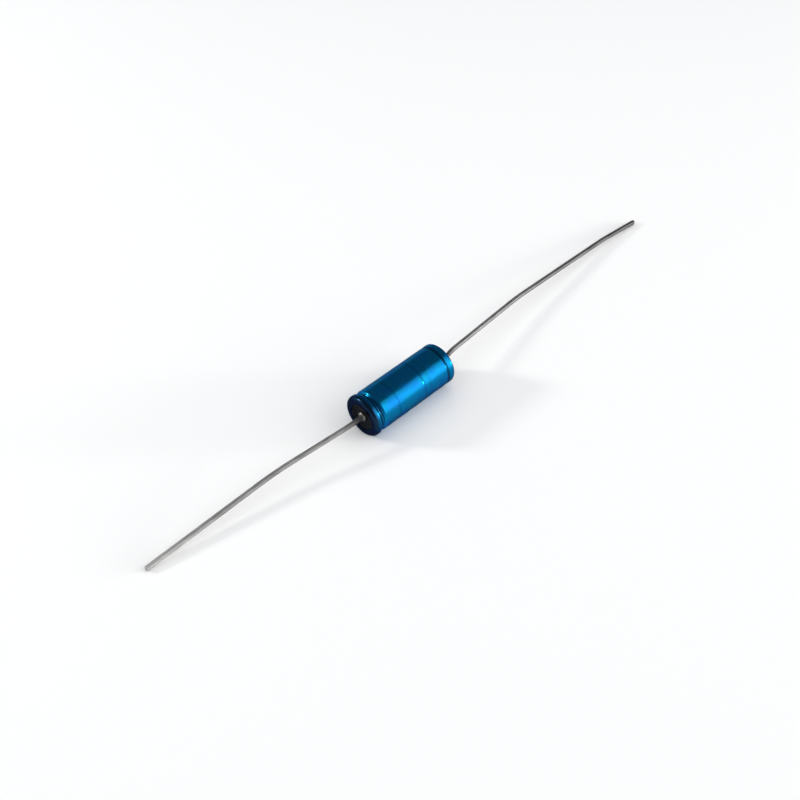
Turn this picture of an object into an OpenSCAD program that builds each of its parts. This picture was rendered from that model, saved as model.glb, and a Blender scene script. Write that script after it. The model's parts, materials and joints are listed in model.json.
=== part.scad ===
// Axial aluminium electrolytic capacitor, lying on its side with both wires bent down to the bench.
//
// +X runs along the body from the sealed positive end to the closed negative end, +Z is up.
// The origin is on the body's axis, halfway along the can. All sizes are in millimetres.
//
// Every round piece is a half section turned about the X axis. In a section the first number is a
// radius and the second is the distance from the can's sealed end, so sizes read as they would on
// a lathe drawing.

/* [Can] */
// Outside diameter of the can's plain barrel
can_d = 6.5; // [5.8:0.1:10]
// Length of the can, from the curled rim to the outside of its bottom
can_length = 16.6; // [14:0.1:32]
// Thickness of the drawn aluminium
can_wall = 0.25; // [0.2:0.01:0.32]
// Inside radius of the corner between the barrel and the bottom
can_corner_r = 0.1; // [0.05:0.01:0.3]
// How far the rim beyond the groove stands above the barrel
rim_rise = 0.085; // [0:0.005:0.15]
// Inside radius of the rim's curl over the seal
curl_r = 0.2; // [0.1:0.01:0.25]
// Opening left inside the curled rim
mouth_d = 4.5; // [3:0.1:4.8]

/* [Groove] */
// Distance from the curled rim to the middle of the groove
groove_at = 1.45; // [1.4:0.05:2.5]
// Depth of the groove below the barrel
groove_depth = 0.42; // [0.25:0.01:0.5]
// Radius of the groove's bottom
groove_r = 0.45; // [0.4:0.01:0.6]
// Inside radius of the shoulders on both sides of the groove
shoulder_r = 0.05; // [0.04:0.01:0.15]

/* [Sleeve] */
// Thickness of the shrunk film
sleeve_wall = 0.15; // [0.06:0.01:0.2]
// Clearance between the film and the can
sleeve_gap = 0.01; // [0.005:0.005:0.03]
// Opening that the film leaves at the sealed end
sleeve_mouth_d = 4.3; // [3:0.1:4.8]
// Opening that the film leaves at the can's bottom
sleeve_tail_d = 4.0; // [2.5:0.1:5]
// Depth of the crease that the shrunk film takes near the can's bottom
crease_depth = 0.05; // [0.02:0.01:0.08]
// Distance from the can's bottom to the crease
crease_from_bottom = 1.3; // [1:0.1:3]
// Radius of the crease's bottom
crease_r = 0.6; // [0.3:0.1:1]

/* [Seal] */
// Thickness of the rubber layer, which faces out
rubber_thickness = 0.4; // [0.3:0.05:0.6]
// Thickness of the hard board layer behind the rubber
board_thickness = 0.5; // [0.3:0.05:0.8]
// Clearance between the seal and the can
seal_gap = 0.02; // [0.01:0.005:0.03]

/* [Terminal rivet] */
// Diameter of the rivet's shank
rivet_shank_d = 0.9; // [0.6:0.1:1.2]
// Clearance around the shank
rivet_gap = 0.02; // [0.01:0.005:0.05]
// Diameter of the rivet's head, outside the rubber
rivet_head_d = 1.5; // [1.4:0.1:2]
// Height of the rivet's head
rivet_head_h = 0.35; // [0.25:0.05:0.6]
// Radius on the edge of the rivet's head
rivet_edge_r = 0.15; // [0.05:0.05:0.2]
// Clearance between the washer and the bend of the anode tab
washer_gap = 0.1; // [0.05:0.05:0.2]
// Thickness of the washer
washer_thickness = 0.2; // [0.1:0.05:0.4]
// Diameter of the swaged end
swage_d = 1.4; // [1.2:0.1:1.6]
// Height of the swaged end
swage_h = 0.2; // [0.1:0.05:0.4]

/* [Wound element] */
// Free space between the winding and whatever lies before it, the groove or the swaged rivet
winding_front_gap = 0.35; // [0.3:0.05:2]
// Free space between the winding and the can's bottom
winding_rear_gap = 0.8; // [0.7:0.1:2]
// Free space between the winding's closing tape and the can's barrel
winding_side_gap = 0.05; // [0.03:0.01:0.2]
// Diameter of the hole that the winding mandrel leaves
mandrel_d = 1.2; // [0.8:0.1:1.6]
// Thickness of the closing tape
tape_thickness = 0.06; // [0.04:0.01:0.1]
// Clearance under the closing tape
tape_gap = 0.01; // [0.005:0.005:0.02]
// Bare length of winding beyond each edge of the tape
tape_margin = 1.2; // [0.5:0.1:3]

/* [Tabs] */
// Width of the two aluminium tabs
tab_width = 1.5; // [1:0.1:1.8]
// Thickness of the tabs
tab_thickness = 0.2; // [0.1:0.02:0.25]
// Distance from the axis to the face of a tab, where it leaves the winding
tab_offset = 1.4; // [1.25:0.05:1.7]
// How deep a tab reaches into the winding
tab_depth = 5; // [2:0.5:6]
// Clearance around a tab in the winding
tab_gap = 0.02; // [0.01:0.005:0.05]
// Inside radius of a tab's bend
tab_bend_r = 0.2; // [0.1:0.05:0.3]
// How far a tab's foot reaches past the axis
tab_foot = 0.9; // [0.7:0.1:1]

/* [Wires] */
// Diameter of the tinned copper wires
wire_d = 0.8; // [0.5:0.05:1]
// Diameter of the weld bead at the root of a wire
weld_d = 1.1; // [1.05:0.05:1.3]
// Height of the weld bead
weld_h = 0.25; // [0.1:0.05:0.4]
// Width of the small ledge where the weld bead meets the wire
weld_ledge = 0.02; // [0.01:0.01:0.05]
// Distance from the can to the end of the positive wire
positive_reach = 37.8; // [30:0.1:60]
// Distance from the can to the end of the negative wire
negative_reach = 55; // [50:0.1:70]
// How far back from the body's axis the positive wire's end lies
positive_sway = 2.3; // [0:0.1:3]
// How far back from the body's axis the negative wire's end lies
negative_sway = 2.6; // [0:0.1:3]

/* [Hidden] */
$fn = 96;

// A cut is this much longer than what it cuts
spare = 1;

// Radii of the barrel and the rim, and the centres of their arcs, on the can's outside
barrel_r = can_d / 2;
rim_r = barrel_r + rim_rise;
corner_out_r = can_corner_r + can_wall;
curl_out_r = curl_r + can_wall;
shoulder_out_r = shoulder_r + can_wall;
groove_centre_r = barrel_r - groove_depth + groove_r;

// A shoulder and the groove run into each other, so their centres lie both radii apart, less a
// hair by which the arcs cross. The reach is that distance measured along the body.
arc_overlap = 0.001;
function shoulder_reach(outside_r) =
    sqrt(
        pow(groove_r + shoulder_out_r - arc_overlap, 2)
        - pow(groove_centre_r - (outside_r - shoulder_out_r), 2)
    );
rim_shoulder_at = groove_at - shoulder_reach(rim_r);
barrel_shoulder_at = groove_at + shoulder_reach(barrel_r);

// Places along the body, from the curled rim
rubber_at = can_wall + seal_gap;
board_at = rubber_at + rubber_thickness;
anode_tab_at = board_at + board_thickness;
washer_at = anode_tab_at + tab_thickness;
swage_at = washer_at + washer_thickness;
winding_at = max(barrel_shoulder_at, swage_at + swage_h) + winding_front_gap;
winding_end = can_length - can_wall - winding_rear_gap;
rivet_top_at = rubber_at - rivet_head_h;

// The washer lies inside the bend of the anode tab
washer_r = tab_offset - tab_thickness - tab_bend_r - washer_gap;

// The winding fills the barrel inside its tape and the free space
winding_r = barrel_r - can_wall - winding_side_gap - tape_thickness - tape_gap;

// The body rests on its rim, so both wires come down from the axis to this height
bench_z = -(rim_r + sleeve_gap + sleeve_wall);
wire_end_z = bench_z + wire_d / 2;

// The crease in the film is an arc that dips below the barrel by the crease's depth
sleeve_out = sleeve_gap + sleeve_wall;
crease_centre_r = barrel_r + sleeve_out - crease_depth + crease_r;

// A bend draws the wire this much thinner, and laps this far into the straight stretches
bend_thinning = 0.01;
bend_lap = 0.05;

// Each wire's corners: distance from the can, and how far back from the axis
positive_corners = [[2.8, 0], [15.5, 1.65], [positive_reach, positive_sway]];
positive_bends = [8, 60];
negative_corners = [[1.3, 0], [3.5, 0.6], [21.5, 2.4], [46, 2.95], [negative_reach, negative_sway]];
negative_bends = [3, 12, 60, 30];

// ---------- helpers ----------

// Turns a half section about the X axis, with the can's curled rim at its place
module turned() {
    translate([-can_length / 2, 0, 0])
        rotate([0, 90, 0])
            rotate_extrude()
                children();
}

// A rectangle of a half section, between two radii and two places along the body
module band(inner_r, outer_r, from, to) {
    translate([inner_r, from])
        square([outer_r - inner_r, to - from]);
}

// A circle of a half section
module round_at(radius, at, r) {
    translate([radius, at])
        circle(r);
}

// Half section of the whole body: the can's outside, moved out by grow on every side.
// Convex arcs gain that much radius and the groove loses it, so two of these differ by a wall
// of even thickness.
module body_section(grow) {
    difference() {
        union() {
            // barrel and bottom, with their round corner
            band(0, barrel_r + grow, barrel_shoulder_at, can_length - corner_out_r);
            band(0, barrel_r - corner_out_r, barrel_shoulder_at, can_length + grow);
            round_at(barrel_r - corner_out_r, can_length - corner_out_r, corner_out_r + grow);
            // shoulder on the barrel's side of the groove
            round_at(barrel_r - shoulder_out_r, barrel_shoulder_at, shoulder_out_r + grow);
            // rim, with its round curl
            band(0, rim_r + grow, curl_out_r, rim_shoulder_at);
            band(0, rim_r - curl_out_r, -grow, rim_shoulder_at);
            round_at(rim_r - curl_out_r, curl_out_r, curl_out_r + grow);
            // shoulder on the rim's side of the groove
            round_at(rim_r - shoulder_out_r, rim_shoulder_at, shoulder_out_r + grow);
            // neck under the groove, up to the lines between the arcs' centres
            polygon([
                [0, rim_shoulder_at],
                [rim_r - shoulder_out_r, rim_shoulder_at],
                [groove_centre_r, groove_at],
                [barrel_r - shoulder_out_r, barrel_shoulder_at],
                [0, barrel_shoulder_at]
            ]);
        }
        round_at(groove_centre_r, groove_at, groove_r - grow);
    }
}

// Side outline of a tab: a riser along X that turns through a round bend into a foot across the
// axis. The foot's outer face is at zero, the riser's outer face is at height offset.
module tab_outline(riser) {
    bend_out = tab_bend_r + tab_thickness;
    translate([bend_out, tab_offset - tab_thickness])
        square([riser - bend_out, tab_thickness]);
    translate([0, -tab_foot])
        square([tab_thickness, tab_offset + tab_foot - bend_out]);
    intersection() {
        translate([bend_out, tab_offset - bend_out])
            difference() {
                circle(bend_out);
                circle(tab_bend_r);
            }
        translate([0, tab_offset - bend_out])
            square(bend_out);
    }
}

// A tab as a solid, standing on the plane of its foot, with its riser along +X
module tab(riser) {
    rotate([90, 0, 0])
        translate([0, 0, -tab_width / 2])
            linear_extrude(tab_width)
                tab_outline(riser);
}

// The slot that a tab fills in the winding: from and to are places along the body
module tab_slot(from, to, side) {
    translate([from - can_length / 2, -tab_width / 2 - tab_gap, side * (tab_offset - tab_thickness / 2)])
        translate([0, 0, -tab_thickness / 2 - tab_gap])
            cube([to - from, tab_width + 2 * tab_gap, tab_thickness + 2 * tab_gap]);
}

// ---------- wires ----------

function unit(v) = v / norm(v);

// Corners of a wire in space: it leaves its root along X, and from its first corner on it comes
// down at an even slope to the bench. side is -1 for the positive wire and 1 for the negative one.
function wire_route(root, corners, side) = concat(
    [[side * root, 0, 0]],
    [for (c = corners) [
        side * (can_length / 2 + c[0]),
        c[1],
        wire_end_z * (c[0] - corners[0][0]) / (corners[len(corners) - 1][0] - corners[0][0])
    ]]
);

// Directions of the stretches before and after a corner, and the length that the bend there takes
function before(route, i) = unit(route[i] - route[i - 1]);
function after(route, i) = unit(route[i + 1] - route[i]);
function turn_at(route, i) = acos(min(1, before(route, i) * after(route, i)));
function trim_at(route, bends, i) =
    i == 0 || i == len(route) - 1 ? 0 : bends[i - 1] * tan(turn_at(route, i) / 2);

// A round bar of the wire's diameter between two points
module wire_bar(start, end) {
    way = end - start;
    translate(start)
        rotate([0, acos(way[2] / norm(way)), atan2(way[1], way[0])])
            cylinder(h = norm(way), d = wire_d);
}

// The round bend at corner i: an arc that touches both stretches, turned about the line through
// its centre that is square to them. It reaches into both by the bend's lap.
module wire_bend(route, bends, i) {
    way_in = before(route, i);
    inward = unit(after(route, i) - way_in);
    square_to = unit(cross(way_in, after(route, i)));
    outward = cross(way_in, square_to);
    start = route[i] - way_in * trim_at(route, bends, i);
    centre = start - outward * bends[i - 1];
    lap_turn = bend_lap / bends[i - 1] * 180 / PI;
    multmatrix([
        [outward[0], way_in[0], square_to[0], centre[0]],
        [outward[1], way_in[1], square_to[1], centre[1]],
        [outward[2], way_in[2], square_to[2], centre[2]],
        [0, 0, 0, 1]
    ])
        rotate([0, 0, -lap_turn])
            rotate_extrude(angle = turn_at(route, i) + 2 * lap_turn)
                translate([bends[i - 1], 0])
                    circle(d = wire_d - bend_thinning);
}

// A whole wire: bars, and the bends between them
module wire(route, bends) {
    for (i = [0:len(route) - 2])
        wire_bar(
            route[i] + (i == 0 ? [0, 0, 0] : after(route, i) * trim_at(route, bends, i)),
            route[i + 1] - before(route, i + 1) * trim_at(route, bends, i + 1)
        );
    for (i = [1:len(route) - 2])
        wire_bend(route, bends, i);
}

// The weld bead at a wire's root, with its broad foot at the given distance from the middle
module weld(root, side) {
    translate([side * root, 0, 0])
        rotate([0, side * 90, 0])
            cylinder(h = weld_h, d1 = weld_d, d2 = wire_d + 2 * weld_ledge);
}

// ---------- pieces ----------

// The blue film, shrunk over the can. It follows the groove, and turns in over both ends.
module insulating_sleeve() {
    color([0.02, 0.35, 0.62])
        turned()
            difference() {
                body_section(sleeve_out);
                body_section(sleeve_gap);
                band(0, sleeve_mouth_d / 2, -spare, 0);
                band(0, sleeve_tail_d / 2, can_length, can_length + spare);
                round_at(crease_centre_r, can_length - crease_from_bottom, crease_r);
            }
}

// The drawn aluminium can, grooved near its mouth and curled in over the seal
module can() {
    color([0.78, 0.79, 0.8])
        turned()
            difference() {
                body_section(0);
                body_section(-can_wall);
                band(0, mouth_d / 2, -spare, can_wall + spare);
            }
}

// The seal's outer layer
module seal_rubber() {
    color([0.05, 0.06, 0.07])
        turned()
            intersection() {
                body_section(-can_wall - seal_gap);
                band(rivet_shank_d / 2 + rivet_gap, barrel_r, rubber_at, board_at);
            }
}

// The seal's inner layer, whose edge sits on the inside of the groove
module seal_board() {
    color([0.45, 0.28, 0.16])
        turned()
            intersection() {
                body_section(-can_wall - seal_gap);
                band(rivet_shank_d / 2 + rivet_gap, barrel_r, board_at, anode_tab_at);
            }
}

// The aluminium rivet, which brings the current through the seal
module terminal_rivet() {
    color([0.7, 0.7, 0.68])
        turned() {
            band(0, rivet_shank_d / 2, rubber_at, swage_at);
            band(0, swage_d / 2, swage_at, swage_at + swage_h);
            band(0, rivet_head_d / 2, rivet_top_at + rivet_edge_r, rubber_at);
            band(0, rivet_head_d / 2 - rivet_edge_r, rivet_top_at, rubber_at);
            round_at(rivet_head_d / 2 - rivet_edge_r, rivet_top_at + rivet_edge_r, rivet_edge_r);
        }
}

// The washer between the anode tab and the swaged end
module rivet_washer() {
    color([0.72, 0.73, 0.74])
        turned()
            band(rivet_shank_d / 2 + rivet_gap, washer_r, washer_at, swage_at);
}

// The wound foils and paper, one solid with the hole of its mandrel and a slot for each tab
module wound_element() {
    color([0.8, 0.77, 0.68])
        difference() {
            turned()
                band(mandrel_d / 2, winding_r, winding_at, winding_end);
            tab_slot(winding_at - spare, winding_at + tab_depth, 1);
            tab_slot(winding_end - tab_depth, winding_end + spare, -1);
        }
}

// The closing tape around the winding
module winding_tape() {
    color([0.75, 0.62, 0.3])
        turned()
            band(
                winding_r + tape_gap,
                winding_r + tape_gap + tape_thickness,
                winding_at + tape_margin,
                winding_end - tape_margin
            );
}

// The positive tab, from the winding to the rivet that passes through its foot
module anode_tab() {
    color([0.75, 0.76, 0.78])
        difference() {
            translate([anode_tab_at - can_length / 2, 0, 0])
                tab(winding_at + tab_depth - tab_gap - anode_tab_at);
            turned()
                band(0, rivet_shank_d / 2 + rivet_gap, anode_tab_at - spare, washer_at + spare);
        }
}

// The negative tab, from the winding to the can's bottom, where its foot is welded flat
module cathode_tab() {
    bottom_inside = can_length - can_wall;
    color([0.75, 0.76, 0.78])
        translate([bottom_inside - can_length / 2, 0, 0])
            rotate([0, 180, 0])
                tab(bottom_inside - winding_end + tab_depth - tab_gap);
}

// The positive wire, welded to the rivet's head
module positive_lead() {
    root = can_length / 2 - rivet_top_at;
    color([0.62, 0.62, 0.6]) {
        weld(root, -1);
        wire(wire_route(root + weld_h / 2, positive_corners, -1), positive_bends);
    }
}

// The negative wire, welded to the middle of the can's bottom
module negative_lead() {
    root = can_length / 2;
    color([0.62, 0.62, 0.6]) {
        weld(root, 1);
        wire(wire_route(root + weld_h / 2, negative_corners, 1), negative_bends);
    }
}

insulating_sleeve();
can();
seal_rubber();
seal_board();
terminal_rivet();
rivet_washer();
wound_element();
winding_tape();
anode_tab();
cathode_tab();
positive_lead();
negative_lead();
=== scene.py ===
# %% [markdown]
# # An axial electrolytic capacitor
# The part is a small aluminium can with a wire at each end. Blue film is shrunk over the can, a
# groove is rolled in near the sealed end, and black rubber closes that end around a rivet. The
# CAD model gives every piece its size and place. This lesson gives them their surfaces: fine
# meshes worked out as formulas, and finishes built from noise.
# %% Load the frame
import json
import math

import bpy
import numpy as np
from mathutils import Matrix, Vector


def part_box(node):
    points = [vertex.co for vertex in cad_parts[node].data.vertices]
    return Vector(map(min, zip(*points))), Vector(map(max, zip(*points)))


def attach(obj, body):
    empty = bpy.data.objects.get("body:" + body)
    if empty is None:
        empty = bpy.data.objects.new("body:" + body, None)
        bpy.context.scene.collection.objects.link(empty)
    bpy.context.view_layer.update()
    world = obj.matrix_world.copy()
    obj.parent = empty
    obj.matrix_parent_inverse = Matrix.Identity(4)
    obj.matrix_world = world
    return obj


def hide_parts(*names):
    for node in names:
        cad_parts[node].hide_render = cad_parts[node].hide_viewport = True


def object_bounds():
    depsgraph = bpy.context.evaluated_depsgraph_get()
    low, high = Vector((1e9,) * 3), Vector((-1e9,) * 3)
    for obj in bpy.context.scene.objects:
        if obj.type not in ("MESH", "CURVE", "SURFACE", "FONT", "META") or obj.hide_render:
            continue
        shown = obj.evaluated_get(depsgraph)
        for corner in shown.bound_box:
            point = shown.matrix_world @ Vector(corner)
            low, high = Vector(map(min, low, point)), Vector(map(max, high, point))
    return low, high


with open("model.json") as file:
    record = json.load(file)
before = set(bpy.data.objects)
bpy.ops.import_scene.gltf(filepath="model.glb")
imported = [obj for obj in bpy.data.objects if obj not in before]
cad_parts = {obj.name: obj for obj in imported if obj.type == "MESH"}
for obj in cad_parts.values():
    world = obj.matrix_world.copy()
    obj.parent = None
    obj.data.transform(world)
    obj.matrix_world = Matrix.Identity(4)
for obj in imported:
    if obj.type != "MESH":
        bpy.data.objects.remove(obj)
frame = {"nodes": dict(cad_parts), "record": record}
cad_box = [list(corner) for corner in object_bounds()]
MM = 0.001
print("CAD pieces:", ", ".join(sorted(frame["nodes"])))

# %% [markdown]
# ## The sizes that everything follows
# The frame already knows how long the can is and how thick its film is, because each piece's box
# is in it. Reading sizes from there, and not typing them again, keeps the looks on the CAD model
# when that changes. What no box tells is repeated here: radii of arcs, walls and openings.
# %% Read the sizes
mounts = {mount["name"]: mount for mount in frame["record"]["mounts"]}
can_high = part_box("can")[1]
film_low, film_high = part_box("insulating_sleeve")
half_length = can_high.x
rim_r = can_high.z
film_out = film_high.x - can_high.x
barrel_r = mounts["body_band"]["dims"]["r_mm"] * MM - film_out
film_gap = 0.01 * MM
can_wall = 0.25 * MM
can_mouth_r = 2.25 * MM
lip_r = can_mouth_r + can_wall / 2
curl_r = 0.45 * MM
corner_r = 0.35 * MM
shoulder_r = 0.30 * MM
groove_r = 0.45 * MM
groove_depth = 0.42 * MM
groove_x = 1.45 * MM - half_length
bench_z = film_low.z
print(f"can {2e3 * half_length:.2f} mm long, barrel {2e3 * barrel_r:.2f} mm, film {1e3 * film_out:.2f} mm")

# %% [markdown]
# ## The camera
# The camera is set first, because it decides how fine each surface has to be. It looks down on
# the sealed end from the front left. A lens of 45 mm at 15 cm is close enough for the near end to
# look larger than the far end, as it does through a real close-up lens.
# %% Place the camera
view_azimuth = math.radians(-44.4)
view_elevation = math.radians(47.0)
view_distance = 153.4 * MM
aim = np.array([-1.03, -0.71, -1.15]) * MM
back = np.array([
    math.sin(view_azimuth) * math.cos(view_elevation),
    -math.cos(view_azimuth) * math.cos(view_elevation),
    math.sin(view_elevation),
])
camera = bpy.data.objects.new("camera", bpy.data.cameras.new("camera"))
camera.data.lens = 45
camera.data.sensor_width = 36
camera.data.clip_start = 0.005
camera.data.clip_end = 20
camera.location = aim + back * view_distance
camera.rotation_euler = (math.pi / 2 - view_elevation, 0, view_azimuth)
bpy.context.scene.collection.objects.link(camera)
bpy.context.scene.camera = camera
print("camera at", [round(1e3 * v, 1) for v in camera.location], "mm")

# %% [markdown]
# ## From formulas to meshes
# Nearly every piece here is round, so one helper does most of the work. It takes a grid of points
# and joins neighbours into quads. A grid may close on itself in either direction, and an open end
# is closed with a fan of triangles around one middle point, so no mesh has a hole.
# %% Helpers for surfaces
def mesh_from_grid(name, points, loop=False):
    """A closed mesh from points[row, column, xyz]. Columns always close into rings. With loop,
    the last row joins the first. Otherwise a fan of triangles closes the first and the last ring.
    The volume is a sixth of the sum of a . (b x c) over all triangles. When it comes out negative
    the faces look inwards, and their corners are taken the other way round."""
    rows, columns = points.shape[:2]
    index = np.arange(rows * columns).reshape(rows, columns)
    here, there = (index, np.roll(index, -1, 0)) if loop else (index[:-1], index[1:])
    quads = np.stack([here, np.roll(here, -1, 1), np.roll(there, -1, 1), there], -1).reshape(-1, 4)
    fans = np.zeros((0, 3), int)
    vertices = points.reshape(-1, 3)
    if not loop:
        first, last = index[0], index[-1]
        vertices = np.concatenate([vertices, [points[0].mean(0), points[-1].mean(0)]])
        start, end = np.full(columns, rows * columns), np.full(columns, rows * columns + 1)
        fans = np.concatenate([
            np.stack([start, np.roll(first, -1), first], -1),
            np.stack([end, last, np.roll(last, -1)], -1),
        ])
    a, b, c = np.moveaxis(vertices[np.concatenate([quads[:, :3], quads[:, [0, 2, 3]], fans])], 1, 0)
    if np.sum(a * np.cross(b, c)) < 0:
        quads, fans = quads[:, ::-1], fans[:, ::-1]
    faces = quads.tolist() + fans.tolist()
    mesh = bpy.data.meshes.new(name)
    mesh.from_pydata(vertices.tolist(), [], faces)
    mesh.polygons.foreach_set("use_smooth", np.ones(len(faces), bool))
    mesh.set_sharp_from_angle(angle=math.radians(50))
    mesh.update()
    return mesh


def add_piece(name, mesh, material, slot, *nodes):
    """Puts a finished mesh in the scene as a piece on the one body, in place of CAD nodes."""
    piece = bpy.data.objects.new(name, mesh)
    bpy.context.scene.collection.objects.link(piece)
    piece.data.materials.append(material)
    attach(piece, "root")
    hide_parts(*nodes)
    print(f"{name}: {len(mesh.polygons)} faces in place of {', '.join(nodes)}")


def arc(x, r, radius, start, end, count=12):
    """Points of an arc around (x, r): radius times the cosine and sine of an even run of angles
    in degrees."""
    angle = np.radians(np.linspace(start, end, count))
    return np.stack([x + radius * np.cos(angle), r + radius * np.sin(angle)], -1)


def line(start, end, count):
    """Evenly spaced points from start to end, without the two ends themselves."""
    share = np.linspace(0, 1, count + 2)[1:-1, None]
    return np.array(start) * (1 - share) + np.array(end) * share


def turned(outline, columns=192):
    """The outline's (x, radius) points turned about X: y is the radius times minus the sine, and
    z the radius times the cosine, of the angle from the top. Also gives those angles."""
    angle = np.linspace(0, 2 * np.pi, columns, endpoint=False)
    x = np.repeat(outline[:, :1], columns, 1)
    y = -outline[:, 1:] * np.sin(angle)
    z = outline[:, 1:] * np.cos(angle)
    return np.stack([x, y, z], -1), angle


print("helpers ready")

# %% [markdown]
# ## One outline for the can and its film
# The film hugs the can, so both have the same outline at two distances. Moving an outline out by
# a fixed distance only changes the radius of each arc: a bulge gains it and a hollow loses it,
# while the centres stay. That is why the outline is a chain of arcs with their centres, and not a
# list of points. Neighbouring arcs touch, because their centres lie both radii apart.
# %% The body's outline
groove_centre_r = barrel_r - groove_depth + groove_r


def shoulder(outside_r, side):
    """Centre (x, radius) of the shoulder beside the groove, and the angle in degrees from it to
    the groove's centre."""
    r = outside_r - shoulder_r
    reach = math.sqrt((groove_r + shoulder_r) ** 2 - (groove_centre_r - r) ** 2)
    angle = math.degrees(math.atan2(groove_centre_r - r, -side * reach))
    return groove_x + side * reach, r, angle


def body_outline(grow, mouth_r, tail_r, creases=()):
    """The can's outside moved out by grow, from its mouth to its bottom. The straight barrel has
    more points near each crease, given as (x, width), so that the crease can be pressed in."""
    near_x, near_r, near_turn = shoulder(rim_r, -1)
    far_x, far_r, far_turn = shoulder(barrel_r, 1)
    outside = barrel_r + grow
    end = half_length - corner_r
    spread = np.linspace(-3, 3, 21)
    stops = [np.linspace(far_x, end, 40), *[x + spread * width for x, width in creases]]
    x = np.unique(np.clip(np.concatenate(stops), far_x, end))[1:-1]
    return np.concatenate([
        line((-half_length - grow, mouth_r), (-half_length - grow, rim_r - curl_r), 6),
        arc(-half_length + curl_r, rim_r - curl_r, curl_r + grow, 180, 90),
        line((-half_length + curl_r, rim_r + grow), (near_x, rim_r + grow), 2),
        arc(near_x, near_r, shoulder_r + grow, 90, near_turn),
        arc(groove_x, groove_centre_r, groove_r - grow, near_turn - 180, far_turn - 180, 24)[1:-1],
        arc(far_x, far_r, shoulder_r + grow, far_turn, 90),
        np.stack([x, np.full(len(x), outside)], -1),
        arc(half_length - corner_r, barrel_r - corner_r, corner_r + grow, 90, 0),
        line((half_length + grow, barrel_r - corner_r), (half_length + grow, tail_r), 6),
    ])


print(len(body_outline(0, can_mouth_r, can_mouth_r)), "points on the can's outline")

# %% [markdown]
# ## Finishes
# Each finish starts from Blender's Principled shader. What is the same all over a surface is set
# on the shader's own sockets, and noise only adds what varies: colour, roughness and a fine
# relief. The noise reads object coordinates in metres, so a small length is turned into a large
# scale. A short helper keeps the node wiring readable.
# %% Helpers for finishes
def new_finish(name, **settings):
    """A material whose Principled shader has these settings, with its nodes and links at hand."""
    material = bpy.data.materials.new(name)
    material.use_nodes = True
    tree = material.node_tree
    shader = tree.nodes["Principled BSDF"]
    for socket, value in settings.items():
        shader.inputs[socket.replace("_", " ")].default_value = value
    place = tree.nodes.new("ShaderNodeTexCoord")
    return material, tree, shader, place.outputs["Object"]


def noise(tree, place, size, stretch=(1, 1, 1), detail=3.0):
    """Noise whose features are about size metres wide, and longer where stretch is over one."""
    mapping = tree.nodes.new("ShaderNodeMapping")
    mapping.inputs["Scale"].default_value = [1 / (size * s) for s in stretch]
    tree.links.new(place, mapping.inputs["Vector"])
    texture = tree.nodes.new("ShaderNodeTexNoise")
    texture.inputs["Scale"].default_value = 1
    texture.inputs["Detail"].default_value = detail
    tree.links.new(mapping.outputs["Vector"], texture.inputs["Vector"])
    return texture.outputs["Fac"]


def ramp(tree, value, *stops):
    """A colour ramp: stops are (position, colour), where a colour may be one grey number."""
    node = tree.nodes.new("ShaderNodeValToRGB")
    elements = node.color_ramp.elements
    while len(elements) < len(stops):
        elements.new(0.5)
    for element, (position, colour) in zip(elements, stops):
        element.position = position
        grey = isinstance(colour, (int, float))
        element.color = (colour, colour, colour, 1) if grey else (*colour, 1)
    tree.links.new(value, node.inputs["Fac"])
    return node.outputs["Color"]


def relief(tree, shader, height, depth):
    """Bumps whose height socket, from 0 to 1, stands for depth metres."""
    bump = tree.nodes.new("ShaderNodeBump")
    bump.inputs["Strength"].default_value = 1
    bump.inputs["Distance"].default_value = depth
    tree.links.new(height, bump.inputs["Height"])
    tree.links.new(bump.outputs["Normal"], shader.inputs["Normal"])


print("finish helpers ready")

# %% [markdown]
# ## The blue film
# The film is clear blue plastic over bright metal, so it looks like blue metal: pale blue where it
# mirrors a lamp, deep blue where it mirrors the bench and nearly black where it mirrors the dark
# room. Coloured glass over metal would need many light bounces. A blue metal gives the same look.
# Its specular tint darkens what is seen at a glancing angle, where light has a long way through
# the dye, and a thin coat adds the white gloss of the plastic itself. The dye is uneven, so soft
# clouds shift the blue. A painted shade deepens the colour wherever the film closes in: in the
# groove and over the ends, and most of all over the bead at the sealed end.
# %% Finish of the film
film_finish, tree, shader, place = new_finish(
    "blue_film",
    Metallic=1.0,
    Specular_Tint=(0.0, 0.3, 0.33, 1),
    Coat_Weight=0.06,
    Coat_Roughness=0.12,
)
split = tree.nodes.new("ShaderNodeSeparateXYZ")
tree.links.new(place, split.inputs["Vector"])


def math_node(tree, operation, first, second=0.0):
    """One Math node. Each input is a number or another node's socket."""
    node = tree.nodes.new("ShaderNodeMath")
    node.operation = operation
    for socket, value in zip(node.inputs, (first, second)):
        if isinstance(value, (int, float)):
            socket.default_value = value
        else:
            tree.links.new(value, socket)
    return node.outputs[0]


def fade(tree, value, start, end, low, high):
    """Goes smoothly from low, where value is start, to high, where it is end."""
    node = tree.nodes.new("ShaderNodeMapRange")
    node.interpolation_type = "SMOOTHSTEP"
    for socket, number in zip(("From Min", "From Max", "To Min", "To Max"), (start, end, low, high)):
        node.inputs[socket].default_value = number
    tree.links.new(value, node.inputs["Value"])
    return node.outputs["Result"]


def shaded(tree, colour, factor):
    """The colour times a factor."""
    mix = tree.nodes.new("ShaderNodeMix")
    mix.data_type = "RGBA"
    mix.blend_type = "MULTIPLY"
    mix.inputs["Factor"].default_value = 1
    tree.links.new(colour, mix.inputs["A"])
    tree.links.new(factor, mix.inputs["B"])
    return mix.outputs["Result"]


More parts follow.
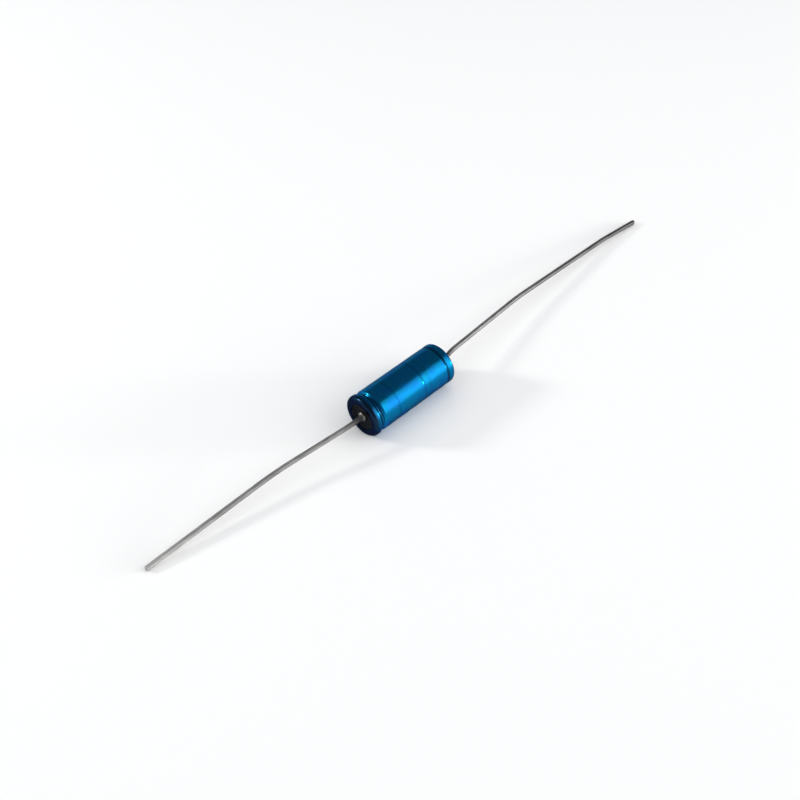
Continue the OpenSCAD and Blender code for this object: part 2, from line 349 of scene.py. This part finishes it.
clouds = noise(tree, place, 1.5 * MM, (1.6, 1, 1))
film_colour = ramp(
    tree,
    clouds,
    (0.28, (0.0008, 0.18, 0.325)),
    (0.5, (0.001, 0.158, 0.36)),
    (0.72, (0.003, 0.132, 0.395)),
)
radius = math_node(
    tree,
    "SQRT",
    math_node(
        tree,
        "ADD",
        math_node(tree, "MULTIPLY", split.outputs["Y"], split.outputs["Y"]),
        math_node(tree, "MULTIPLY", split.outputs["Z"], split.outputs["Z"]),
    ),
)
# Painted shade: the film's colour goes to a deep navy where its radius falls, over the ends and in the
# groove, and over the whole bead at the sealed end.
painted_shade_colour = (0.009, 0.025, 0.055, 1)
shade_by_radius = fade(tree, radius, 2.7 * MM, 3.4 * MM, 0.0, 1.0)
shade_at_bead_end = fade(tree, split.outputs["X"], -8.3 * MM, -7.1 * MM, 0.0, 1.0)
painted_shade_mix = tree.nodes.new("ShaderNodeMix")
painted_shade_mix.data_type = "RGBA"
painted_shade_mix.inputs["A"].default_value = painted_shade_colour
tree.links.new(film_colour, painted_shade_mix.inputs["B"])
tree.links.new(math_node(tree, "MULTIPLY", shade_by_radius, shade_at_bead_end), painted_shade_mix.inputs["Factor"])
film_colour = painted_shade_mix.outputs["Result"]

# %% [markdown]
# Faint rings go round the film where it creased as it shrank. Each is pressed into the mesh, and
# the colour along it is darkened as painted shade. The one near the can's bottom has the strongest
# painted shade, all the way round. The other three come and go. Each crease is its place along the
# body, its depth and its width in millimetres, how patchy it is, and how much of the colour its
# painted shade leaves.
# %% Creases in the film
creases = [
    (7.0, 0.05, 0.13, 0.0, 0.35),
    (-3.45, 0.02, 0.12, 0.7, 0.8),
    (2.0, 0.024, 0.11, 0.6, 0.78),
    (3.2, 0.012, 0.15, 0.9, 0.9),
]
# Painted shade: each crease multiplies the film's colour by a dip down to its last number.
for at, _, width, _, painted_darkest in creases:
    from_crease = math_node(tree, "SUBTRACT", split.outputs["X"], at * MM)
    away = math_node(tree, "ABSOLUTE", from_crease)
    shade = fade(tree, away, 0.8 * width * MM, 2.8 * width * MM, painted_darkest, 1.0)
    film_colour = shaded(tree, film_colour, shade)
tree.links.new(film_colour, shader.inputs["Base Color"])
unevenness = noise(tree, place, 1.2 * MM, (1.5, 1, 1), 2.0)
tree.links.new(fade(tree, clouds, 0.3, 0.7, 0.2, 0.3), shader.inputs["Roughness"])
relief(tree, shader, unevenness, 0.016 * MM)


def crease_depth(x, angle):
    """The sum over the creases of depth times exp(-((x - crease's x) / width)^2). A patchy crease
    is also weaker where the sine of twice the angle is high."""
    depth = np.zeros(np.broadcast(x, angle).shape)
    for number, (at, deep, width, patchy, _) in enumerate(creases):
        around = 1 - patchy * (0.5 + 0.5 * np.sin(2 * angle + 1.7 * number))
        depth += deep * MM * np.exp(-(((x - at * MM) / (width * MM)) ** 2)) * around
    return depth


print(len(creases), "creases, the deepest", max(crease[1] for crease in creases), "mm")

# %% [markdown]
# The film's shape is the body's outline turned about the axis, with two skins a film's thickness
# apart. Its cut edges wander, fine wrinkles gather towards them, and along the barrel it lies up to
# about a hundredth of a millimetre lower in places. All of these are sines around the body, with
# whole numbers of waves so that they meet after one turn.
# %% The film
film_mouth_r = 2.15 * MM
film_tail_r = 2.0 * MM
pucker_from_r = 2.9 * MM
pucker_reach = 0.8 * MM
pucker_depth = 0.055 * MM
wander_depth = 0.06 * MM
wave_depth = 0.008 * MM
barrel_from = -6.1 * MM


def waves(x, angle, seed):
    """A soft random height from -1 to 1: sines around the body times sines along it."""
    draw = np.random.default_rng(seed)
    height = np.zeros(np.broadcast(x, angle).shape)
    for turns in (1, 2, 3, 5):
        phase = draw.uniform(0, 2 * np.pi, 2)
        length = draw.uniform(3, 9) * MM
        height += np.sin(turns * angle + phase[0]) * np.sin(2 * np.pi * x / length + phase[1])
    return height / 4


def film_mesh():
    """The outside skin from mouth to tail, then the inside skin back, as one closed loop. The
    radius wanders at the cut edges, and on the outside it loses the creases and the waves. Over
    the ends the outside skin sinks in by wrinkles, which are sines of many waves to a turn."""
    dense = [(at * MM, width * MM) for at, _, width, _, _ in creases]
    outside = body_outline(film_out, film_mouth_r, film_tail_r, dense)
    inside = body_outline(film_gap, film_mouth_r, film_tail_r)[::-1]
    points, angle = turned(np.concatenate([outside, inside]))
    x = points[..., 0]
    radius = np.hypot(points[..., 1], points[..., 2])
    outer = np.arange(len(x))[:, None] < len(outside)
    near_edge = np.clip((pucker_from_r - radius) / pucker_reach, 0, 1)
    wander = wander_depth * (waves(np.sign(x), angle, seed=3) - 0.3) * near_edge
    straight = np.clip((x - barrel_from) / MM, 0, 1) * np.clip((half_length - x) / MM, 0, 1)
    sunk = crease_depth(x, angle) + wave_depth * (1 + waves(x, angle, seed=5)) * straight
    points[..., 1:] *= ((radius + wander - np.where(outer, sunk, 0)) / radius)[..., None]
    ripple = (1.6 + np.sin(17 * angle + 1.3) + 0.6 * np.sin(29 * angle + 0.4)) / 3.2
    points[..., 0] -= np.where(outer, np.sign(x) * pucker_depth * near_edge * ripple, 0)
    return mesh_from_grid("film", points, loop=True)


add_piece("film", film_mesh(), film_finish, "sleeve_film", "insulating_sleeve")

# %% [markdown]
# ## The can
# Under the film is bare drawn aluminium. It shows inside the film's two round openings: as the
# curled lip around the seal, and as the bottom. The punch leaves fine rings around the axis, and
# handling dulls the metal in patches. A wave texture in rings gives the first and noise the second.
# %% The can
def rings(tree, place, spacing, distortion):
    """Bands around the X axis, a spacing apart. The texture's own spacing is pi / 10 at scale 1."""
    bands = tree.nodes.new("ShaderNodeTexWave")
    bands.wave_type = "RINGS"
    bands.rings_direction = "X"
    bands.inputs["Scale"].default_value = math.pi / 10 / spacing
    bands.inputs["Distortion"].default_value = distortion
    bands.inputs["Detail"].default_value = 3
    tree.links.new(place, bands.inputs["Vector"])
    return bands.outputs["Fac"]


can_finish, tree, shader, place = new_finish("drawn_aluminium", Metallic=1.0)
punch_marks = rings(tree, place, 0.09 * MM, 2.0)
dulling = noise(tree, place, 0.7 * MM, detail=5.0)
bright_metal = ramp(tree, dulling, (0.32, (0.42, 0.43, 0.44)), (0.62, (0.68, 0.685, 0.69)))
bright_metal = shaded(tree, bright_metal, ramp(tree, punch_marks, (0.2, 0.93), (0.8, 1.0)))
tree.links.new(bright_metal, shader.inputs["Base Color"])
tree.links.new(ramp(tree, dulling, (0.3, 0.42), (0.7, 0.26)), shader.inputs["Roughness"])
relief(tree, shader, punch_marks, 0.0012 * MM)


def can_mesh():
    """One outline from the middle of the bottom's outside along the can to its lip, round that
    and back along the inside to the middle again, turned about the axis."""
    middle = 0.05 * MM
    outside = body_outline(0, lip_r, middle)[::-1]
    lip = arc(-half_length + can_wall / 2, lip_r, can_wall / 2, 180, 360, 12)[1:-1]
    inside = body_outline(-can_wall, lip_r, middle)
    points, _ = turned(np.concatenate([outside, lip, inside]))
    return mesh_from_grid("can_shell", points)


add_piece("can_shell", can_mesh(), can_finish, "can_aluminium", "can")

# %% [markdown]
# ## The seal's black face
# The rubber disc is pressed between the groove and the curl, which squeezes it out a little through
# the can's mouth. Moulded rubber is matt, and dust sticks to it, so a fine noise roughens it and
# lifts a few specks to grey.
# %% The seal
rubber_finish, tree, shader, place = new_finish(
    "black_rubber",
    Roughness=0.6,
    Specular_IOR_Level=0.06,
)
specks = noise(tree, place, 0.12 * MM, detail=4.0)
rubber_colour = ramp(
    tree,
    specks,
    (0.35, (0.002, 0.0035, 0.006)),
    (0.66, (0.005, 0.007, 0.01)),
    (0.78, (0.025, 0.026, 0.028)),
)
tree.links.new(rubber_colour, shader.inputs["Base Color"])
relief(tree, shader, specks, 0.01 * MM)

rubber_low, rubber_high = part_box("seal_rubber")
rivet_low, rivet_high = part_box("terminal_rivet")
rubber_hole_r = 0.47 * MM
swelling = 0.27 * MM
swelling_r = 2.12 * MM
swelling_width = 0.4 * MM
contact_gap = 0.004 * MM


def rubber_mesh():
    """A ring whose front face swells out through the can's mouth by a bell curve of the radius.
    The face follows the lip's arc back in, and its hidden corner follows the can's curl, so the
    two touch and don't cross."""
    front, rear, outer = rubber_low.x, rubber_high.x, rubber_high.z
    behind_lip_r = can_mouth_r - contact_gap
    radii = np.concatenate([np.linspace(rubber_hole_r, 1.4 * MM, 12), np.linspace(1.42, 2.27, 40) * MM])
    bell = np.exp(-(((radii - swelling_r) / swelling_width) ** 2))
    outline = np.concatenate([
        np.stack([front - swelling * bell, radii], -1),
        arc(-half_length + can_wall / 2, lip_r, can_wall / 2 + contact_gap, 231, 270, 8),
        [[front, behind_lip_r]],
        line((front, behind_lip_r), (front, rim_r - curl_r), 8),
        arc(-half_length + curl_r, rim_r - curl_r, curl_r - half_length - front, 180, 90),
        line((-half_length + curl_r, outer), (rear, outer), 4),
        line((rear, outer), (rear, rubber_hole_r), 2),
        [[rear, rubber_hole_r]],
    ])
    points, _ = turned(outline)
    return mesh_from_grid("seal_face", points, loop=True)


add_piece("seal_face", rubber_mesh(), rubber_finish, "seal_rubber", "seal_rubber")

# %% [markdown]
# ## The rivet
# The rivet's head is a low button on the rubber. It is soft aluminium, dulled by the welding, so
# its roughness is higher than the can's. Its colour is darkened towards its lower side as painted
# shade.
# %% The rivet
rivet_finish, tree, shader, place = new_finish("dull_aluminium", Metallic=1.0, Roughness=0.42)
smudge = noise(tree, place, 0.3 * MM)
rivet_colour = ramp(tree, smudge, (0.3, (0.22, 0.205, 0.185)), (0.7, (0.5, 0.47, 0.43)))
height = tree.nodes.new("ShaderNodeSeparateXYZ")
tree.links.new(place, height.inputs["Vector"])
# Painted shade: the rivet's colour falls to a quarter towards its lower side.
painted_shade_below = fade(tree, height.outputs["Z"], -0.2 * MM, 0.6 * MM, 0.25, 1.0)
rivet_colour = shaded(tree, rivet_colour, painted_shade_below)
tree.links.new(rivet_colour, shader.inputs["Base Color"])
relief(tree, shader, smudge, 0.012 * MM)


def rivet_mesh():
    """Head, shank and swaged end as one outline from the head's middle to the far middle."""
    head_r, swage_r, shank_r = 0.75 * MM, 0.7 * MM, 0.45 * MM
    edge_r, inner_edge = 0.15 * MM, 0.02 * MM
    top, under = rivet_low.x, rubber_low.x
    swage_x, end_x = rivet_high.x - 0.2 * MM, rivet_high.x
    outline = np.concatenate([
        line((top, 0), (top, head_r - edge_r), 6),
        arc(top + edge_r, head_r - edge_r, edge_r, 180, 90),
        [[under, head_r], [under, shank_r + inner_edge], [under + inner_edge, shank_r]],
        line((under, shank_r), (swage_x, shank_r), 6),
        [[swage_x, shank_r], [swage_x, swage_r], [end_x, swage_r]],
    ])
    points, _ = turned(outline, 96)
    return mesh_from_grid("rivet", points)


add_piece("rivet", rivet_mesh(), rivet_finish, "rivet_aluminium", "terminal_rivet")

# %% [markdown]
# ## The wires
# Each wire is a copper wire dipped in tin: stiff, grey and softly shiny. It is swept along its
# route, which is a chain of straight stretches and arcs. The route leaves the end of the body along
# the axis and slopes down to the bench. Route points are in millimetres, as in the CAD model.
# %% The wires' route
wire_r = mounts["positive_wire_end"]["dims"]["r_mm"] * MM
wire_end_z = bench_z + wire_r


def wire_route(root, corners, side):
    """The wire's corners in space. Each corner is (distance from the can, distance back), and the
    height falls evenly from the first corner to the bench at the last."""
    run = np.array(corners) * MM
    share = (run[:, 0] - run[0, 0]) / (run[-1, 0] - run[0, 0])
    rest = np.stack([side * (half_length + run[:, 0]), run[:, 1], wire_end_z * share], -1)
    return np.concatenate([[[side * root, 0, 0]], rest])


def rounded(route, bends):
    """The route with an arc in place of each corner. The arc starts the bend's radius times the
    tangent of half the turn before the corner, and bulges towards it."""
    pieces = [route[:1]]
    for before, corner, after, radius in zip(route, route[1:], route[2:], bends):
        way_in = (corner - before) / np.linalg.norm(corner - before)
        way_out = (after - corner) / np.linalg.norm(after - corner)
        turn = math.acos(way_in @ way_out)
        trim = radius * MM * math.tan(turn / 2)
        inward = way_out - way_in
        inward -= way_in * (inward @ way_in)
        inward /= np.linalg.norm(inward)
        angle = np.linspace(0, turn, 24)[:, None]
        start = corner - way_in * trim
        pieces.append(start + radius * MM * (np.sin(angle) * way_in + (1 - np.cos(angle)) * inward))
    return np.concatenate([*pieces, route[-1:]])


def resampled(path, step):
    """The same path with points an even step apart along it."""
    along = np.concatenate([[0], np.cumsum(np.linalg.norm(np.diff(path, axis=0), axis=1))])
    even = np.linspace(0, along[-1], int(along[-1] / step) + 1)
    return np.stack([np.interp(even, along, path[:, k]) for k in range(3)], -1), even


print(f"wires of {2e3 * wire_r:.1f} mm, ends at z = {1e3 * wire_end_z:.3f} mm")

# %% [markdown]
# Drawing leaves streaks along a wire, and handling dulls its tin in blotches. A painted shade makes
# the wires brightest at the positive wire's tip and darker towards the negative one's, by a ramp over
# the whole length. Another painted shade darkens both wires near the body.
# %% Finish of the wires
wire_finish, tree, shader, place = new_finish("tinned_wire", Metallic=0.7)
streaks = noise(tree, place, 0.16 * MM, (14, 1, 1), 4.0)
blotches = noise(tree, place, 1.8 * MM, (2, 1, 1), 2.0)
wire_colour = ramp(tree, streaks, (0.3, (0.44, 0.433, 0.411)), (0.7, (0.735, 0.728, 0.706)))
wire_colour = shaded(tree, wire_colour, ramp(tree, blotches, (0.35, 0.72), (0.65, 1.0)))
along = tree.nodes.new("ShaderNodeSeparateXYZ")
tree.links.new(place, along.inputs["Vector"])
tip_to_tip = math_node(
    tree,
    "DIVIDE",
    math_node(tree, "SUBTRACT", along.outputs["X"], cad_box[0][0]),
    cad_box[1][0] - cad_box[0][0],
)
# Painted shade along the wires: a ramp from the positive wire's tip to the negative wire's tip.
shade_along_wires = ramp(
    tree,
    tip_to_tip,
    (0.0, 1.0),
    (0.13, 0.56),
    (0.33, 0.56),
    (0.52, 0.36),
    (0.62, 0.36),
    (0.78, 0.24),
    (1.0, 0.14),
)
wire_colour = shaded(tree, wire_colour, shade_along_wires)
from_middle = math_node(tree, "ABSOLUTE", along.outputs["X"])
from_body = math_node(tree, "SUBTRACT", from_middle, half_length)
# Painted shade near the body: both wires darken towards their roots.
painted_shade_near_body = fade(tree, from_body, 0.9 * MM, 5.0 * MM, 0.38, 1.0)
wire_colour = shaded(tree, wire_colour, painted_shade_near_body)
tree.links.new(wire_colour, shader.inputs["Base Color"])
tree.links.new(ramp(tree, streaks, (0.3, 0.38), (0.7, 0.52)), shader.inputs["Roughness"])
relief(tree, shader, streaks, 0.008 * MM)
print("tin", len(tree.nodes), "nodes")

# %% [markdown]
# The sweep needs two directions across the wire at each point. The wires run nearly level, so
# the first is level and square to the wire, and the second is square to both. The radius along
# the wire is a formula too: a flare at the weld, a few thousandths of unevenness, and a tip whose
# edge the cutter has rounded.
# %% Sweep the wires
ring_step = 0.12 * MM


def wire_mesh(name, route, bends, phase):
    """Rings of the wire's radius around its path, with one more ring in the flare of the weld.
    The flare falls as exp(-(distance / width)^1.5), and the unevenness is a sine of the distance
    along the wire, shifted by the phase."""
    path, along = resampled(rounded(route, bends), ring_step)
    path = np.concatenate([path[:1], path[:1] + (path[1] - path[0]) * 0.3, path[1:]])
    along = np.concatenate([along[:1], [along[1] * 0.3], along[1:]])
    ahead = np.gradient(path, along, axis=0)
    ahead /= np.linalg.norm(ahead, axis=1)[:, None]
    across = np.cross(ahead, [0, 0, 1])
    across /= np.linalg.norm(across, axis=1)[:, None]
    up = np.cross(across, ahead)
    from_tip = along[-1] - along
    flare = 0.15 * MM * np.exp(-((along / (0.16 * MM)) ** 1.5))
    tip = 0.06 * MM * np.clip(1 - from_tip / ring_step, 0, 1) ** 2
    uneven = 0.004 * MM * np.sin(2 * np.pi * along / (5.3 * MM) + phase) * np.clip(along / MM, 0, 1)
    radius = wire_r + flare - tip - np.abs(uneven)
    angle = np.linspace(0, 2 * np.pi, 40, endpoint=False)[None, :, None]
    ring = across[:, None] * np.cos(angle) + up[:, None] * np.sin(angle)
    points = path[:, None] + ring * radius[:, None, None]
    print(f"{name}: {1e3 * along[-1]:.1f} mm of wire")
    return mesh_from_grid(name, points)


positive_corners = [(2.8, 0), (15.5, 1.65), (37.8, 2.3)]
negative_corners = [(1.3, 0), (3.5, 0.6), (21.5, 2.4), (46, 2.95), (55, 2.6)]
positive_route = wire_route(-rivet_low.x, positive_corners, -1)
negative_route = wire_route(half_length, negative_corners, 1)
add_piece(
    "positive_wire",
    wire_mesh("positive_wire", positive_route, [8, 60], phase=1),
    wire_finish,
    "tinned_wire",
    "positive_lead",
)
add_piece(
    "negative_wire",
    wire_mesh("negative_wire", negative_route, [3, 12, 60, 30], phase=2),
    wire_finish,
    "tinned_wire",
    "negative_lead",
)

# %% [markdown]
# ## What is inside
# These pieces are sealed in, so the CAD meshes stay and only get their finishes. The roll shows
# its turns as fine rings around the mandrel hole, the board is brown resin paper, the tape is
# amber film, and the tabs and the washer are rolled aluminium.
# %% Finishes of the inner pieces
def inner_finish(name, dark, light, size, stretch, depth, **settings):
    """A finish whose colour runs between two shades with the noise that also gives the relief."""
    material, tree, shader, place = new_finish(name, **settings)
    grain = noise(tree, place, size, stretch)
    tree.links.new(ramp(tree, grain, (0.35, dark), (0.65, light)), shader.inputs["Base Color"])
    relief(tree, shader, grain, depth)
    return material


def roll_finish():
    """Rings of foil and paper: bands of the distance from the X axis, roughened by noise."""
    material, tree, shader, place = new_finish("wound_foil", Metallic=0.2, Roughness=0.6)
    turns = rings(tree, place, 0.13 * MM, 1.5)
    colour = ramp(tree, turns, (0.3, (0.62, 0.54, 0.4)), (0.7, (0.7, 0.7, 0.7)))
    tree.links.new(colour, shader.inputs["Base Color"])
    relief(tree, shader, turns, 0.01 * MM)
    return material


foil_strip = inner_finish(
    "rolled_strip",
    dark=(0.66, 0.67, 0.69),
    light=(0.8, 0.81, 0.82),
    size=0.2 * MM,
    stretch=(6, 1, 1),
    depth=0.003 * MM,
    Metallic=1.0,
    Roughness=0.35,
)
board = inner_finish(
    "resin_board",
    dark=(0.2, 0.1, 0.045),
    light=(0.34, 0.18, 0.08),
    size=0.15 * MM,
    stretch=(1, 3, 1),
    depth=0.006 * MM,
    Roughness=0.5,
)
amber = inner_finish(
    "amber_tape",
    dark=(0.5, 0.3, 0.07),
    light=(0.62, 0.4, 0.12),
    size=0.8 * MM,
    stretch=(1, 1, 1),
    depth=0.005 * MM,
    Roughness=0.3,
)
inner = {
    "seal_board": board,
    "rivet_washer": foil_strip,
    "anode_tab": foil_strip,
    "cathode_tab": foil_strip,
    "winding_tape": amber,
    "wound_element": roll_finish(),
}
for node, material in inner.items():
    frame["nodes"][node].data.materials.clear()
    frame["nodes"][node].data.materials.append(material)
    print(node, "->", material.name)

# %% [markdown]
# ## The floor
# The capacitor lies on a plain white disc, wide enough to reach the horizon of a close view. Its
# colour is all that makes it white: the lamps below add up to a level at which a colour renders
# about as it is written.
# %% The floor
floor_r = 0.8
floor_corners = 96
around = np.linspace(0, 2 * np.pi, floor_corners, endpoint=False)
level = np.full(floor_corners, bench_z)
rim = np.stack([floor_r * np.cos(around), floor_r * np.sin(around), level], -1)
floor_mesh = bpy.data.meshes.new("floor")
floor_mesh.from_pydata(rim.tolist(), [], [list(range(floor_corners))])
floor = bpy.data.objects.new("floor", floor_mesh)
bpy.context.scene.collection.objects.link(floor)
floor_finish, tree, shader, place = new_finish(
    "white_floor",
    Base_Color=(0.97, 0.962, 0.948, 1),
    Roughness=0.9,
    Specular_IOR_Level=0.1,
)
floor_mesh.materials.append(floor_finish)
print("floor at z =", round(1e3 * bench_z, 3), "mm")

# %% [markdown]
# ## The light
# Blue metal only looks like metal when it has something bright and something dark to mirror. One
# large soft lamp stands in front and to the right, low enough to draw a bright band along the
# barrel. Two small bright lamps give the tight curves of the bead and the shoulder their sparkle. A
# wide lamp overhead is hidden from reflections: it lights the floor and leaves the upper half of
# the reflection dark.
# %% The lamps
def soft_lamp(name, direction, distance, size, brightness, spread=180, glossy=True):
    """A square lamp in that direction, aimed at the body. Brightness is that of its face, where 1
    is white, so its power is brightness times pi times its area. A spread under 180 degrees dims
    the face towards its edges."""
    data = bpy.data.lights.new(name, "AREA")
    data.size = size
    data.spread = math.radians(spread)
    data.energy = brightness * math.pi * size ** 2
    lamp = bpy.data.objects.new(name, data)
    away = Vector(direction).normalized()
    lamp.location = away * distance
    lamp.rotation_euler = away.to_track_quat("Z", "Y").to_euler()
    lamp.visible_glossy = glossy
    bpy.context.scene.collection.objects.link(lamp)
    print(f"{name}: {data.energy:.2f} W")
    return lamp


front, beside_bead, behind = (0.48, -0.78, 0.405), (0.75, -0.65, 0.125), (-0.6, 0.71, 0.37)
soft_lamp("front_lamp", front, distance=0.5, size=0.51, brightness=0.46, spread=80)
soft_lamp("bead_lamp", beside_bead, distance=0.5, size=0.06, brightness=80)
soft_lamp("shoulder_lamp", behind, distance=0.5, size=0.06, brightness=80)
soft_lamp("top_lamp", (0, 0, 1), distance=0.8, size=2.0, brightness=0.685, glossy=False)

# %% [markdown]
# The room itself is dim overhead and pale at the horizon, so a view from the side still has a
# plain pale backdrop. The gradient runs over the height of the direction, from 0 at the horizon
# to 1 straight up.
# %% The room
world = bpy.data.worlds.new("room")
bpy.context.scene.world = world
world.use_nodes = True
tree = world.node_tree
direction = tree.nodes.new("ShaderNodeTexCoord")
height = tree.nodes.new("ShaderNodeSeparateXYZ")
tree.links.new(direction.outputs["Generated"], height.inputs["Vector"])
sky = ramp(
    tree,
    height.outputs["Z"],
    (0.0, 0.9),
    (0.08, 0.8),
    (0.24, 0.3),
    (0.4, (0.205, 0.22, 0.245)),
)
tree.links.new(sky, tree.nodes["Background"].inputs["Color"])
bpy.context.scene.view_settings.view_transform = "Standard"
print("room set")

print("CAD box   ", [[round(1e3 * v, 2) for v in corner] for corner in cad_box])
